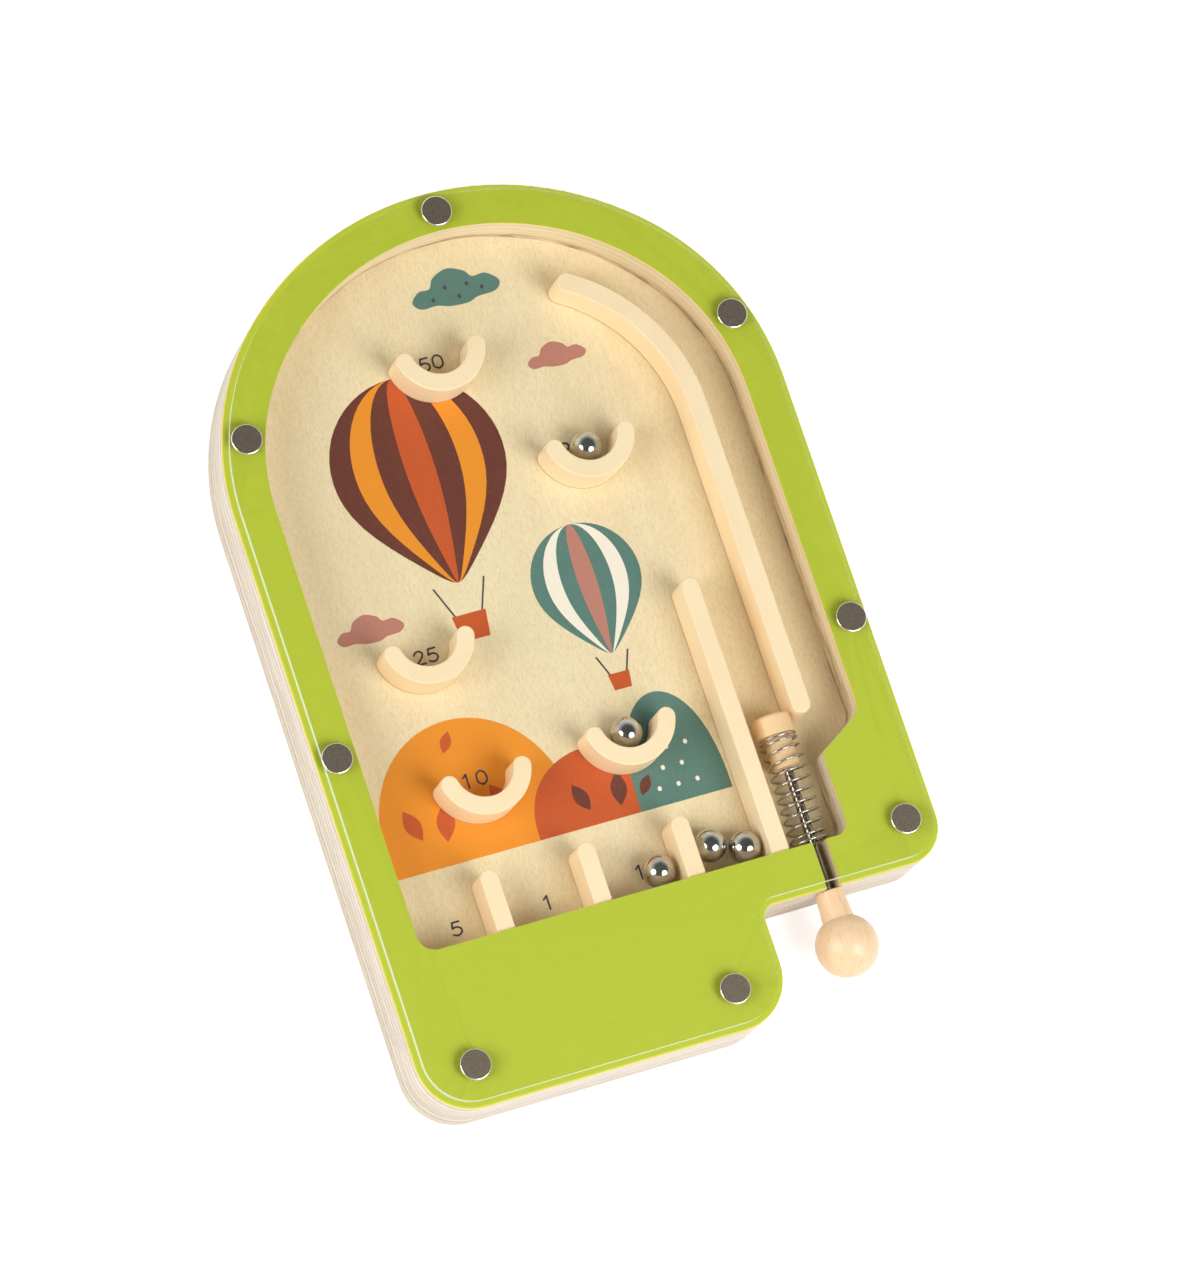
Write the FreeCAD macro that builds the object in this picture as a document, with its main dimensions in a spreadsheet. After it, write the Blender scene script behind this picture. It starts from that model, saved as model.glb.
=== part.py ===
import FreeCAD, Part
import math
import os
import re
import Sketcher

# Wooden bagatelle board: a small pinball game in a flat arched case.
# A plywood base and a plywood frame of the same outline are stacked under a clear
# cover, which eight flat-headed nails hold. Glued wooden cups, dividers and rails
# stand in the recess, with five steel balls and a sprung plunger.
# Millimetres. X runs across the board, Y up the board towards the arch and Z up.
# The origin is below the middle of the board, on the face that it rests on.

doc = FreeCAD.newDocument("Bagatelle")
sizes = doc.addObject("Spreadsheet::Sheet", "Sizes")

SIZES = [
    ("board_width", 150.0, "width across the straight sides"),
    ("board_length", 229.3, "bottom edge to the top of the arch"),
    ("shoulder_inset", 9.2, "centres of the arch's two side arcs from the middle line"),
    ("crown_rise", 3.7, "top of the arch above the tops of its side arcs"),
    ("corner_radius", 14.0, "two lower corners of the left lobe"),
    ("side_corner_radius", 10.5, "lower right corner beside the plunger"),
    ("notch_width", 51.9, "notch for the knob, up to the right side"),
    ("notch_y", 28.6, "upper side of the notch for the knob"),
    ("notch_fillet", 3.2, "inner corner of the notch"),
    ("base_thickness", 9.5, "plywood base"),
    ("frame_thickness", 11.0, "plywood frame, also the depth of the recess"),
    ("panel_edge", 0.5, "broken outer edges of the plywood"),
    ("cover_thickness", 2.0, "clear cover sheet"),
    ("cover_inset", 1.7, "cover's edge inside the frame's edge"),
    ("cover_edge", 0.2, "broken edge of the cover"),
    ("rim_width", 10.6, "frame's rim round the recess"),
    ("window_shoulder_inset", 8.0, "centres of the recess's side arcs from the middle line"),
    ("window_bottom", 40.8, "lower side of the recess"),
    ("window_corner_radius", 4.7, "lower left corner of the recess"),
    ("trough_inset", 23.5, "right side of the plunger's trough from the right side"),
    ("trough_corner_radius", 3.5, "lower right corner of the trough"),
    ("deflector_high_y", 70.0, "slope above the trough, at the rim"),
    ("deflector_low_y", 62.2, "slope above the trough, at the trough"),
    ("deflector_high_radius", 4.5, "rounding at the slope's upper end"),
    ("deflector_low_radius", 1.5, "rounding at the slope's lower end"),
    ("piece_height", 10.4, "cups, dividers and rails above the base"),
    ("piece_edge", 0.3, "rounded upper edges of cups, dividers and rails"),
    ("cup_mid_radius", 10.0, "middle line of a cup's curved wall"),
    ("cup_wall", 4.6, "thickness of a cup's wall"),
    ("cup_depth", 12.4, "cup from its lowest point to its tips"),
    ("cup_1_x", -10.1, "cup at the top"),
    ("cup_1_drop", 39.2, "cup at the top, below the top of the arch"),
    ("cup_2_x", 20.2, "upper right cup"),
    ("cup_2_drop", 70.8, "upper right cup, below the top of the arch"),
    ("cup_3_x", -37.3, "left cup"),
    ("cup_3_y", 118.0, "left cup"),
    ("cup_4_x", 5.9, "middle cup"),
    ("cup_4_y", 84.4, "middle cup"),
    ("cup_5_x", -34.0, "lower left cup"),
    ("cup_5_y", 82.2, "lower left cup"),
    ("divider_width", 4.8, "dividers and the straight rail"),
    ("divider_top", 56.8, "upper ends of the dividers"),
    ("divider_1_x", -41.7, "left divider"),
    ("divider_2_x", -15.6, "middle divider"),
    ("ball_slot_width", 22.9, "right divider to the straight rail, middle to middle"),
    ("straight_rail_inset", 10.3, "middle of the straight rail from the plunger's axis"),
    ("straight_rail_top", 115.0, "upper end of the straight rail"),
    ("lane_rail_inset", 7.5, "middle of the curved rail from the plunger's axis"),
    ("lane_rail_width", 5.0, "curved rail"),
    ("lane_rail_foot", 73.5, "lower end of the curved rail"),
    ("lane_rail_bend_drop", 1.6, "start of the curved rail's bend, below the start of the arch"),
    ("lane_rail_bend_radius", 45.3, "bend of the curved rail, at its middle line"),
    ("lane_rail_reach", 22.9, "curved rail's upper end, sideways from its straight part"),
    ("plunger_inset", 8.5, "plunger's axis from the trough's right side"),
    ("rod_diameter", 2.5, "steel rod"),
    ("rod_clearance", 0.7, "rod in the frame's groove, on the radius"),
    ("rod_tip_edge", 0.3, "chamfer at the rod's ends"),
    ("head_diameter", 9.8, "striking end of the plunger"),
    ("head_length", 5.3, "striking end, in front of the spring"),
    ("head_rounding", 1.0, "rounded front edge of the head"),
    ("head_back_edge", 0.3, "broken back edges of the head"),
    ("spigot_diameter", 7.2, "turned part of the head inside the spring"),
    ("spigot_length", 8.6, "turned part of the head inside the spring"),
    ("head_socket", 11.0, "depth of the rod's hole in the head"),
    ("plunger_reach", 41.7, "from the knob's shoulder to the spring's seat"),
    ("knob_ball_diameter", 16.2, "ball of the knob"),
    ("knob_length", 22.6, "knob from its neck's end to the ball's end"),
    ("neck_end_diameter", 7.3, "neck where it meets the frame"),
    ("neck_root_diameter", 8.3, "neck where it meets the ball"),
    ("neck_edge", 0.3, "broken edge of the neck"),
    ("knob_socket", 14.0, "depth of the rod's hole in the knob"),
    ("wire_diameter", 0.6, "spring wire"),
    ("coil_diameter", 9.6, "spring, to the middle of the wire"),
    ("closed_pitch", 1.05, "closed turn at each end of the spring"),
    ("open_turns", 8.0, "turns at the full pitch, between the ones that open and close"),
    ("spring_gap", 0.1, "spring's ends from their seats"),
    ("spring_lean", 0.8, "spring's end at the wall, off the plunger's axis"),
    ("ball_diameter", 8.5, "steel balls"),
    ("ball_gap", 0.1, "balls above the base"),
    ("ball_side_gap", 0.15, "balls from the wall beside them"),
    ("ball_end_gap", 0.5, "balls from the recess's lower side"),
    ("ball_cup_gap", 0.8, "balls from the bottom of their cup"),
    ("ball_pair_gap", 0.1, "two balls of one slot, across the slot"),
    ("ball_pair_step", 2.7, "two balls of one slot, along the slot"),
    ("ball_lean_gap", 0.7, "ball of the middle slot from its divider"),
    ("nail_head_diameter", 8.0, "flat heads over the cover"),
    ("nail_head_height", 0.9, "flat heads over the cover"),
    ("nail_head_edge", 0.35, "rounded edge of a head"),
    ("nail_shank_diameter", 2.2, "nails"),
    ("nail_bite", 6.0, "nails in the base"),
    ("nail_point", 2.0, "length of a nail's point"),
    ("nail_cover_clearance", 0.2, "hole in the cover, on the radius"),
    ("nail_top_inset", 5.9, "nail at the top of the arch, from its edge"),
    ("nail_shoulder_inset", 5.9, "nails on the shoulders, from the arch's edge"),
    ("nail_shoulder_angle", 17.7, "nails on the shoulders, above the start of the arch"),
    ("nail_side_inset", 5.1, "nails halfway up the sides, from the edge"),
    ("nail_side_y", 93.5, "nails halfway up the sides"),
    ("nail_plunger_inset", 8.9, "nail beside the plunger, from the right side"),
    ("nail_plunger_rise", 11.2, "nail beside the plunger, from the notch"),
    ("nail_foot_y", 10.4, "two nails at the lower edge"),
    ("nail_foot_inset", 14.2, "two nails at the lower edge, from the sides"),
]
PLACES = [
    ("shoulder_radius", "board_width / 2 - shoulder_inset", "side arcs of the arch"),
    ("side_top", "board_length - crown_rise - shoulder_radius", "where the straight sides end"),
    ("notch_x", "board_width / 2 - notch_width", "left side of the notch"),
    ("trough_x", "board_width / 2 - trough_inset", "right side of the trough"),
    ("plunger_x", "trough_x - plunger_inset", "plunger's axis"),
    ("straight_rail_x", "plunger_x - straight_rail_inset", "middle of the straight rail"),
    ("lane_rail_x", "plunger_x + lane_rail_inset", "middle of the curved rail"),
    ("lane_rail_bend_y", "side_top - lane_rail_bend_drop", "where the curved rail bends"),
    ("divider_3_x", "straight_rail_x - ball_slot_width", "right divider"),
    ("cup_1_y", "board_length - cup_1_drop", "cup at the top"),
    ("cup_2_y", "board_length - cup_2_drop", "upper right cup"),
    ("nail_1_x", "0", "at the top of the arch"),
    ("nail_1_y", "board_length - nail_top_inset", "at the top of the arch"),
    ("nail_2_x", "shoulder_inset + (shoulder_radius - nail_shoulder_inset) * cos(nail_shoulder_angle)",
     "right shoulder"),
    ("nail_2_y", "side_top + (shoulder_radius - nail_shoulder_inset) * sin(nail_shoulder_angle)",
     "right shoulder"),
    ("nail_3_x", "-nail_2_x", "left shoulder"),
    ("nail_3_y", "nail_2_y", "left shoulder"),
    ("nail_4_x", "nail_side_inset - board_width / 2", "left side"),
    ("nail_4_y", "nail_side_y", "left side"),
    ("nail_5_x", "-nail_4_x", "right side"),
    ("nail_5_y", "nail_side_y", "right side"),
    ("nail_6_x", "board_width / 2 - nail_plunger_inset", "beside the plunger"),
    ("nail_6_y", "notch_y + nail_plunger_rise", "beside the plunger"),
    ("nail_7_x", "notch_x - nail_foot_inset", "lower right of the lobe"),
    ("nail_7_y", "nail_foot_y", "lower right of the lobe"),
    ("nail_8_x", "nail_foot_inset - board_width / 2", "lower left of the lobe"),
    ("nail_8_y", "nail_foot_y", "lower left of the lobe"),
]
ALIASES = {name for name, value, note in SIZES + PLACES}
cells = [(name, str(number), note) for name, number, note in SIZES]
cells += [(name, "=" + formula, note) for name, formula, note in PLACES]
for row, (name, content, note) in enumerate(cells, start=1):
    sizes.set("A%d" % row, name)
    sizes.set("B%d" % row, content)
    sizes.set("C%d" % row, note)
    sizes.setAlias("B%d" % row, name)
doc.recompute()

UP = FreeCAD.Vector(0, 0, 1)
CUPS = 5
DIVIDERS = 3
NAILS = 8
START, END, CENTRE = 1, 2, 3
H_AXIS, V_AXIS = -1, -2
FLATNESS = 1e-6
SHORT_STRETCH = 1 / 8  # of a turn of the spring
TURN_SAMPLES = 32
parts = []


def bound(text):
    """The same formula with each size named as a cell of the sheet."""
    def cell(word):
        return "Sizes." + word.group() if word.group() in ALIASES else word.group()

    return re.sub(r"[a-z][a-z_0-9]*", cell, text)


def size(text):
    """What a formula of sizes gives now."""
    return float(sizes.evalExpression(bound(text)))


def bind(thing, **formulas):
    """Tie properties of an object to formulas of sizes."""
    for name, text in formulas.items():
        thing.setExpression(name, bound(text))


def place(thing, x="0", y="0", z="0"):
    """Put a sub-part at x, y, z, where y counts from the board's bottom edge."""
    for axis, text in zip("xyz", (x, "%s - board_length / 2" % y, z)):
        thing.setExpression(".Placement.Base." + axis, bound(text))


def new_body(label):
    body = doc.addObject("PartDesign::Body", label)
    body.Label = label
    parts.append(body)
    return body


def new_sketch(body, name, plane="XY_Plane", height=None):
    sketch = body.newObject("Sketcher::SketchObject", name)
    origin_plane = [f for f in body.Origin.OriginFeatures if f.Role == plane][0]
    sketch.AttachmentSupport = [(origin_plane, "")]
    sketch.MapMode = "FlatFace"
    if height:
        sketch.setExpression(".AttachmentOffset.Base.z", bound(height))
    return sketch


def pad(body, sketch, length):
    feature = body.newObject("PartDesign::Pad", sketch.Name + "_pad")
    feature.Profile = sketch
    bind(feature, Length=length)
    return feature


def revolve(body, sketch):
    """Turn a half profile round its sketch's vertical axis."""
    feature = body.newObject("PartDesign::Revolution", sketch.Name + "_turned")
    feature.Profile = sketch
    feature.ReferenceAxis = (sketch, ["V_Axis"])
    feature.Angle = 360
    return feature


def fix(sketch, kind, *args):
    """Add a measured constraint: the last argument is its formula."""
    number = sketch.addConstraint(Sketcher.Constraint(kind, *args[:-1], size(args[-1])))
    sketch.setExpression("Constraints[%d]" % number, bound(args[-1]))


def fix_point(sketch, geometry, position, x, y):
    """Tie a point to its distances from the sketch's origin."""
    for kind, text in (("DistanceX", x), ("DistanceY", y)):
        if text == "0":
            axis = V_AXIS if kind == "DistanceX" else H_AXIS
            sketch.addConstraint(Sketcher.Constraint("PointOnObject", geometry, position, axis))
        else:
            fix(sketch, kind, H_AXIS, START, geometry, position, text)


def arc(sketch, centre, radius, begin, finish):
    """Arc from begin to finish the short way. Gives its number and its two ends."""
    turn = (begin - centre).cross(finish - centre).z
    angles = [math.atan2(p.y - centre.y, p.x - centre.x) for p in (begin, finish)]
    if turn < 0:
        angles.reverse()
    circle = Part.Circle(centre, UP, radius)
    number = sketch.addGeometry(Part.ArcOfCircle(circle, angles[0], angles[1]))
    return (number, START, END) if turn > 0 else (number, END, START)


def join(sketch, first, second):
    """Join the end of one piece of an outline to the start of the next, in line."""
    sketch.addConstraint(Sketcher.Constraint("Tangent", first[0], first[2], second[0], second[1]))


class Corner:
    """A corner of an outline, with the formulas of its place and its rounding."""

    def __init__(self, x, y, radius=None):
        self.formulas = (x, y)
        self.at = FreeCAD.Vector(size(x), size(y), 0)
        self.radius = radius

    def cuts(self, before, after):
        """Where the rounding starts and ends on the two sides, and its centre."""
        if not self.radius:
            return self.at, self.at, None
        back = (before.at - self.at).normalize()
        ahead = (after.at - self.at).normalize()
        angle = math.acos(back.dot(ahead))
        radius = size(self.radius)
        reach = radius / math.tan(angle / 2)
        centre = self.at + (back + ahead).normalize() * (radius / math.sin(angle / 2))
        return self.at + back * reach, self.at + ahead * reach, centre


def chain(sketch, corners):
    """Draw straight sides from corner to corner and round those with a radius."""
    last = len(corners) - 1
    cuts = [corner.cuts(corners[max(i - 1, 0)], corners[min(i + 1, last)])
            for i, corner in enumerate(corners)]
    sides = []
    for i in range(last):
        number = sketch.addGeometry(Part.LineSegment(cuts[i][1], cuts[i + 1][0]))
        sides.append((number, START, END))
    for i in range(1, last):
        before, after = sides[i - 1], sides[i]
        if corners[i].radius:
            bend = arc(sketch, cuts[i][2], size(corners[i].radius), cuts[i][0], cuts[i][1])
            join(sketch, before, bend)
            join(sketch, bend, after)
            fix(sketch, "Radius", bend[0], corners[i].radius)
            point = sketch.addGeometry(Part.Point(corners[i].at), True)
            sketch.addConstraint(Sketcher.Constraint("PointOnObject", point, START, before[0]))
            sketch.addConstraint(Sketcher.Constraint("PointOnObject", point, START, after[0]))
            fix_point(sketch, point, START, *corners[i].formulas)
        else:
            sketch.addConstraint(Sketcher.Constraint("Coincident", before[0], END, after[0], START))
            fix_point(sketch, before[0], END, *corners[i].formulas)
    return sides


def closed_outline(sketch, corners):
    """A closed outline that starts and ends at a corner with no rounding."""
    sides = chain(sketch, corners + [corners[0]])
    sketch.addConstraint(Sketcher.Constraint("Coincident", sides[-1][0], END, sides[0][0], START))
    fix_point(sketch, sides[0][0], START, *corners[0].formulas)


def arched_outline(sketch, inset, shoulder_inset, lower):
    """Two straight sides under an arch of three arcs, drawn inset from the board's edge."""
    half = "(board_width / 2 - %s)" % inset
    side_arc = "(%s - %s)" % (half, shoulder_inset)
    level = "(board_length - %s - crown_rise - %s)" % (inset, side_arc)
    top_arc = "(((%s + crown_rise) ^ 2 + %s ^ 2 - %s ^ 2) / (2 * crown_rise))" % (
        side_arc, shoulder_inset, side_arc)
    right = Corner(half, level)
    left = Corner("-" + half, level)
    sides = chain(sketch, [right] + lower + [left])
    shoulder = FreeCAD.Vector(size(shoulder_inset), size(level), 0)
    crown = FreeCAD.Vector(0, size("board_length - %s - %s" % (inset, top_arc)), 0)
    meeting = crown + (shoulder - crown).normalize() * size(top_arc)
    mirrored = FreeCAD.Vector(-meeting.x, meeting.y, 0)
    arcs = [
        arc(sketch, FreeCAD.Vector(-shoulder.x, shoulder.y, 0), size(side_arc), left.at, mirrored),
        arc(sketch, crown, size(top_arc), mirrored, meeting),
        arc(sketch, shoulder, size(side_arc), meeting, right.at),
    ]
    ring = [sides[-1]] + arcs + [sides[0]]
    for first, second in zip(ring, ring[1:]):
        join(sketch, first, second)
    for piece, radius in zip(arcs, (side_arc, top_arc, side_arc)):
        fix(sketch, "Radius", piece[0], radius)
    fix_point(sketch, sides[0][0], START, *right.formulas)
    fix_point(sketch, sides[-1][0], END, *left.formulas)


def board_outline(sketch, inset):
    """The board's outline with the notch for the knob, drawn inset from its edge."""
    half = "(board_width / 2 - %s)" % inset
    arched_outline(sketch, inset, "shoulder_inset", [
        Corner(half, "notch_y + " + inset, "side_corner_radius - " + inset),
        Corner("notch_x - " + inset, "notch_y + " + inset, "notch_fillet + " + inset),
        Corner("notch_x - " + inset, inset, "corner_radius - " + inset),
        Corner("-" + half, inset, "corner_radius - " + inset),
    ])


def face_at(shape, height):
    """The flat face at a height, and its name."""
    for number, face in enumerate(shape.Faces, start=1):
        box = face.BoundBox
        if box.ZLength < FLATNESS and abs(box.ZMin - height) < FLATNESS:
            return face, "Face%d" % number
    raise RuntimeError("no flat face at %.3f" % height)


def edge_names(shape, edges):
    return ["Edge%d" % n for n, e in enumerate(shape.Edges, start=1) if any(e.isSame(x) for x in edges)]


def break_edges(body, kind, amount, height, outer_only=False):
    """Round or chamfer the edges of the flat face at a height above the body's origin."""
    doc.recompute()
    base = body.Tip
    face, name = face_at(base.Shape, size(height))
    names = edge_names(base.Shape, face.OuterWire.Edges) if outer_only else [name]
    feature = body.newObject("PartDesign::" + kind, "%s_%s" % (body.Label, kind.lower()))
    feature.Base = (base, names)
    bind(feature, **{"Radius" if kind == "Fillet" else "Size": amount})
    doc.recompute()


def cut(body, sketch, length=None):
    """Cut a sketch out of a body: down by a length, or right through both ways."""
    before = body.Shape.Volume
    feature = body.newObject("PartDesign::Pocket", sketch.Name + "_cut")
    feature.Profile = sketch
    if length:
        bind(feature, Length=length)
    else:
        feature.SideType = "Symmetric"
        feature.Type = "ThroughAll"
    doc.recompute()
    if body.Shape.Volume >= before:
        raise RuntimeError(sketch.Name + " cuts nothing")


def nail_circles(sketch, radius):
    """One circle at each nail."""
    for number in range(1, NAILS + 1):
        x, y = "nail_%d_x" % number, "nail_%d_y" % number
        centre = FreeCAD.Vector(size(x), size(y), 0)
        circle = sketch.addGeometry(Part.Circle(centre, UP, size(radius)))
        fix_point(sketch, circle, CENTRE, x, y)
        fix(sketch, "Radius", circle, radius)


# Base: one plywood panel, with a blind hole for the end of each nail.
def make_base():
    body = new_body("base_panel")
    outline = new_sketch(body, "base_outline")
    board_outline(outline, "0")
    pad(body, outline, "base_thickness")
    break_edges(body, "Chamfer", "panel_edge", "0", outer_only=True)
    holes = new_sketch(body, "base_nail_holes", height="base_thickness")
    nail_circles(holes, "nail_shank_diameter / 2")
    cut(body, holes, "nail_bite")
    place(body)


# Frame: the same outline with the recess sawn out, a slope that leads the balls to
# the plunger, and a round-bottomed groove for the rod, open under the cover.
def make_frame():
    body = new_body("frame")
    outline = new_sketch(body, "frame_outline")
    board_outline(outline, "0")
    pad(body, outline, "frame_thickness")
    break_edges(body, "Fillet", "panel_edge", "frame_thickness", outer_only=True)
    window = new_sketch(body, "window")
    half = "(board_width / 2 - rim_width)"
    arched_outline(window, "rim_width", "window_shoulder_inset", [
        Corner(half, "deflector_high_y", "deflector_high_radius"),
        Corner("trough_x", "deflector_low_y", "deflector_low_radius"),
        Corner("trough_x", "window_bottom", "trough_corner_radius"),
        Corner("-" + half, "window_bottom", "window_corner_radius"),
    ])
    cut(body, window)
    holes = new_sketch(body, "frame_nail_holes")
    nail_circles(holes, "nail_shank_diameter / 2")
    cut(body, holes)
    groove = new_sketch(body, "rod_groove", plane="XZ_Plane")
    radius = "(rod_diameter / 2 + rod_clearance)"
    axis, top = "frame_thickness / 2", "frame_thickness + rod_diameter"
    left, right = "plunger_x - " + radius, "plunger_x + " + radius
    centre = FreeCAD.Vector(size("plunger_x"), size(axis), 0)
    side = chain(groove, [Corner(left, axis), Corner(left, top), Corner(right, top), Corner(right, axis)])
    number = groove.addGeometry(Part.ArcOfCircle(Part.Circle(centre, UP, size(radius)), math.pi, 2 * math.pi))
    join(groove, side[-1], (number, END, START))
    join(groove, (number, END, START), side[0])
    fix_point(groove, number, CENTRE, "plunger_x", axis)
    fix(groove, "Radius", number, radius)
    slot = body.newObject("PartDesign::Pocket", "rod_groove_cut")
    slot.Profile = groove
    slot.SideType = "Symmetric"
    bind(slot, Length="2 * (window_bottom + rod_diameter)")
    place(body, z="base_thickness")


# Cover: clear sheet a little smaller than the frame, with a loose hole at each nail.
def make_cover():
    body = new_body("cover_sheet")
    outline = new_sketch(body, "cover_outline")
    board_outline(outline, "cover_inset")
    pad(body, outline, "cover_thickness")
    break_edges(body, "Chamfer", "cover_edge", "cover_thickness", outer_only=True)
    holes = new_sketch(body, "cover_nail_holes")
    nail_circles(holes, "nail_shank_diameter / 2 + nail_cover_clearance")
    cut(body, holes)
    place(body, z="base_thickness + frame_thickness")


# Nails: flat round heads on pointed shanks, all alike.
def make_nails():
    profile = doc.addObject("Sketcher::SketchObject", "nail_profile")
    profile.Placement = FreeCAD.Placement(FreeCAD.Vector(), FreeCAD.Rotation(FreeCAD.Vector(1, 0, 0), 90))
    shank = "nail_shank_diameter / 2"
    reach = "-(cover_thickness + frame_thickness + nail_bite)"
    closed_outline(profile, [
        Corner("0", reach),
        Corner(shank, reach + " + nail_point"),
        Corner(shank, "0"),
        Corner("nail_head_diameter / 2", "0"),
        Corner("nail_head_diameter / 2", "nail_head_height", "nail_head_edge"),
        Corner("0", "nail_head_height"),
    ])
    nails = []
    for number in range(1, NAILS + 1):
        nail = doc.addObject("Part::Revolution", "nail_%d" % number)
        nail.Source = profile
        nail.Axis = UP
        nail.Base = FreeCAD.Vector()
        nail.Angle = 360
        nail.Solid = True
        x, y = "nail_%d_x" % number, "nail_%d_y" % number
        place(nail, x, y, "base_thickness + frame_thickness + cover_thickness")
        nails.append(nail)
    group = doc.addObject("Part::Compound", "cover_nails")
    group.Label = "cover_nails"
    group.Links = nails
    parts.append(group)


# Cup: a curved strip of wood, open towards the arch, with round tips.
def make_cup(number):
    body = new_body("cup_%d" % number)
    sketch = new_sketch(body, "cup_%d_outline" % number)
    tip_y = size("cup_depth - cup_wall - cup_mid_radius")
    middle, half_wall = size("cup_mid_radius"), size("cup_wall / 2")
    tip_x = math.sqrt(middle ** 2 - tip_y ** 2)
    tips = [FreeCAD.Vector(-tip_x, tip_y, 0), FreeCAD.Vector(tip_x, tip_y, 0)]
    origin = FreeCAD.Vector()
    walls = []
    for radius in (middle + half_wall, middle - half_wall):
        ends = [math.atan2(tip.y, tip.x) for tip in tips]
        strip = sketch.addGeometry(Part.ArcOfCircle(Part.Circle(origin, UP, radius), ends[0], ends[1]))
        sketch.addConstraint(Sketcher.Constraint("Coincident", strip, CENTRE, H_AXIS, START))
        walls.append(strip)
    fix(sketch, "Radius", walls[0], "cup_mid_radius + cup_wall / 2")
    fix(sketch, "Radius", walls[1], "cup_mid_radius - cup_wall / 2")
    for tip, side, position in ((tips[0], -1, START), (tips[1], 1, END)):
        angle = math.atan2(tip.y, tip.x)
        around = (angle, angle + math.pi) if side > 0 else (angle - math.pi, angle)
        cap = sketch.addGeometry(Part.ArcOfCircle(Part.Circle(tip, UP, half_wall), *around))
        outer, inner = (START, END) if side > 0 else (END, START)
        sketch.addConstraint(Sketcher.Constraint("Tangent", walls[0], position, cap, outer))
        sketch.addConstraint(Sketcher.Constraint("Tangent", walls[1], position, cap, inner))
        fix(sketch, "DistanceY", H_AXIS, START, cap, CENTRE, "cup_depth - cup_wall - cup_mid_radius")
    pad(body, sketch, "piece_height")
    break_edges(body, "Fillet", "piece_edge", "piece_height")
    place(body, "cup_%d_x" % number, "cup_%d_y" % number, "base_thickness")


# Divider or straight rail: a flat strip that stands on the recess's lower side and
# has a round upper end.
def make_strip(label, x, top):
    body = new_body(label)
    sketch = new_sketch(body, label + "_outline")
    half, spring_line = "divider_width / 2", top + " - window_bottom - divider_width / 2"
    sides = chain(sketch, [
        Corner("-" + half, spring_line),
        Corner("-" + half, "0"),
        Corner(half, "0"),
        Corner(half, spring_line),
    ])
    centre = FreeCAD.Vector(0, size(spring_line), 0)
    cap = sketch.addGeometry(Part.ArcOfCircle(Part.Circle(centre, UP, size(half)), 0, math.pi))
    join(sketch, sides[-1], (cap, START, END))
    join(sketch, (cap, START, END), sides[0])
    fix_point(sketch, cap, CENTRE, "0", spring_line)
    fix(sketch, "Radius", cap, half)
    pad(body, sketch, "piece_height")
    break_edges(body, "Fillet", "piece_edge", "piece_height")
    place(body, x, "window_bottom", "base_thickness")


# Curved rail: straight beside the plunger's lane and bent over its top to turn the
# balls into the field. Drawn from the centre of its bend.
def make_lane_rail():
    body = new_body("lane_rail")
    sketch = new_sketch(body, "lane_rail_outline")
    bend, half = size("lane_rail_bend_radius"), size("lane_rail_width / 2")
    tip_x = "lane_rail_bend_radius - lane_rail_reach"
    foot_y = "lane_rail_foot + lane_rail_width / 2 - lane_rail_bend_y"
    angle = math.acos(size(tip_x) / bend)
    tip = FreeCAD.Vector(math.cos(angle), math.sin(angle), 0)
    foot = FreeCAD.Vector(bend, size(foot_y), 0)
    side = FreeCAD.Vector(half, 0, 0)
    lines, bends = [], []
    for offset, text in ((1, "lane_rail_bend_radius + lane_rail_width / 2"),
                         (-1, "lane_rail_bend_radius - lane_rail_width / 2")):
        radius = bend + offset * half
        level = FreeCAD.Vector(radius, 0, 0)
        line = sketch.addGeometry(Part.LineSegment(foot + side * offset, level))
        curve = sketch.addGeometry(Part.ArcOfCircle(Part.Circle(FreeCAD.Vector(), UP, radius), 0, angle))
        sketch.addConstraint(Sketcher.Constraint("Coincident", curve, CENTRE, H_AXIS, START))
        sketch.addConstraint(Sketcher.Constraint("Tangent", line, END, curve, START))
        sketch.addConstraint(Sketcher.Constraint("PointOnObject", curve, START, H_AXIS))
        fix(sketch, "Radius", curve, text)
        lines.append(line)
        bends.append(curve)
    cap = sketch.addGeometry(Part.ArcOfCircle(Part.Circle(tip * bend, UP, half), angle, angle + math.pi))
    sketch.addConstraint(Sketcher.Constraint("Tangent", bends[0], END, cap, START))
    sketch.addConstraint(Sketcher.Constraint("Tangent", bends[1], END, cap, END))
    fix(sketch, "DistanceX", H_AXIS, START, cap, CENTRE, tip_x)
    toe = sketch.addGeometry(Part.ArcOfCircle(Part.Circle(foot, UP, half), math.pi, 2 * math.pi))
    sketch.addConstraint(Sketcher.Constraint("Tangent", lines[0], START, toe, END))
    sketch.addConstraint(Sketcher.Constraint("Tangent", lines[1], START, toe, START))
    fix(sketch, "DistanceY", H_AXIS, START, toe, CENTRE, foot_y)
    pad(body, sketch, "piece_height")
    break_edges(body, "Fillet", "piece_edge", "piece_height")
    place(body, "lane_rail_x - lane_rail_bend_radius", "lane_rail_bend_y", "base_thickness")


def place_on_axis(body):
    """Put a turned plunger piece on the plunger's axis, from the notch's edge."""
    place(body, "plunger_x", "notch_y", "base_thickness + frame_thickness / 2")


# Plunger, counted up the board from where the knob's neck rests on the frame.
def make_rod():
    body = new_body("plunger_rod")
    sketch = new_sketch(body, "rod_profile")
    radius = "rod_diameter / 2"
    low, high = "-knob_socket", "plunger_reach - spigot_length + head_socket"
    closed_outline(sketch, [
        Corner("0", low),
        Corner(radius + " - rod_tip_edge", low),
        Corner(radius, low + " + rod_tip_edge"),
        Corner(radius, high + " - rod_tip_edge"),
        Corner(radius + " - rod_tip_edge", high),
        Corner("0", high),
    ])
    revolve(body, sketch)
    place_on_axis(body)


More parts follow.
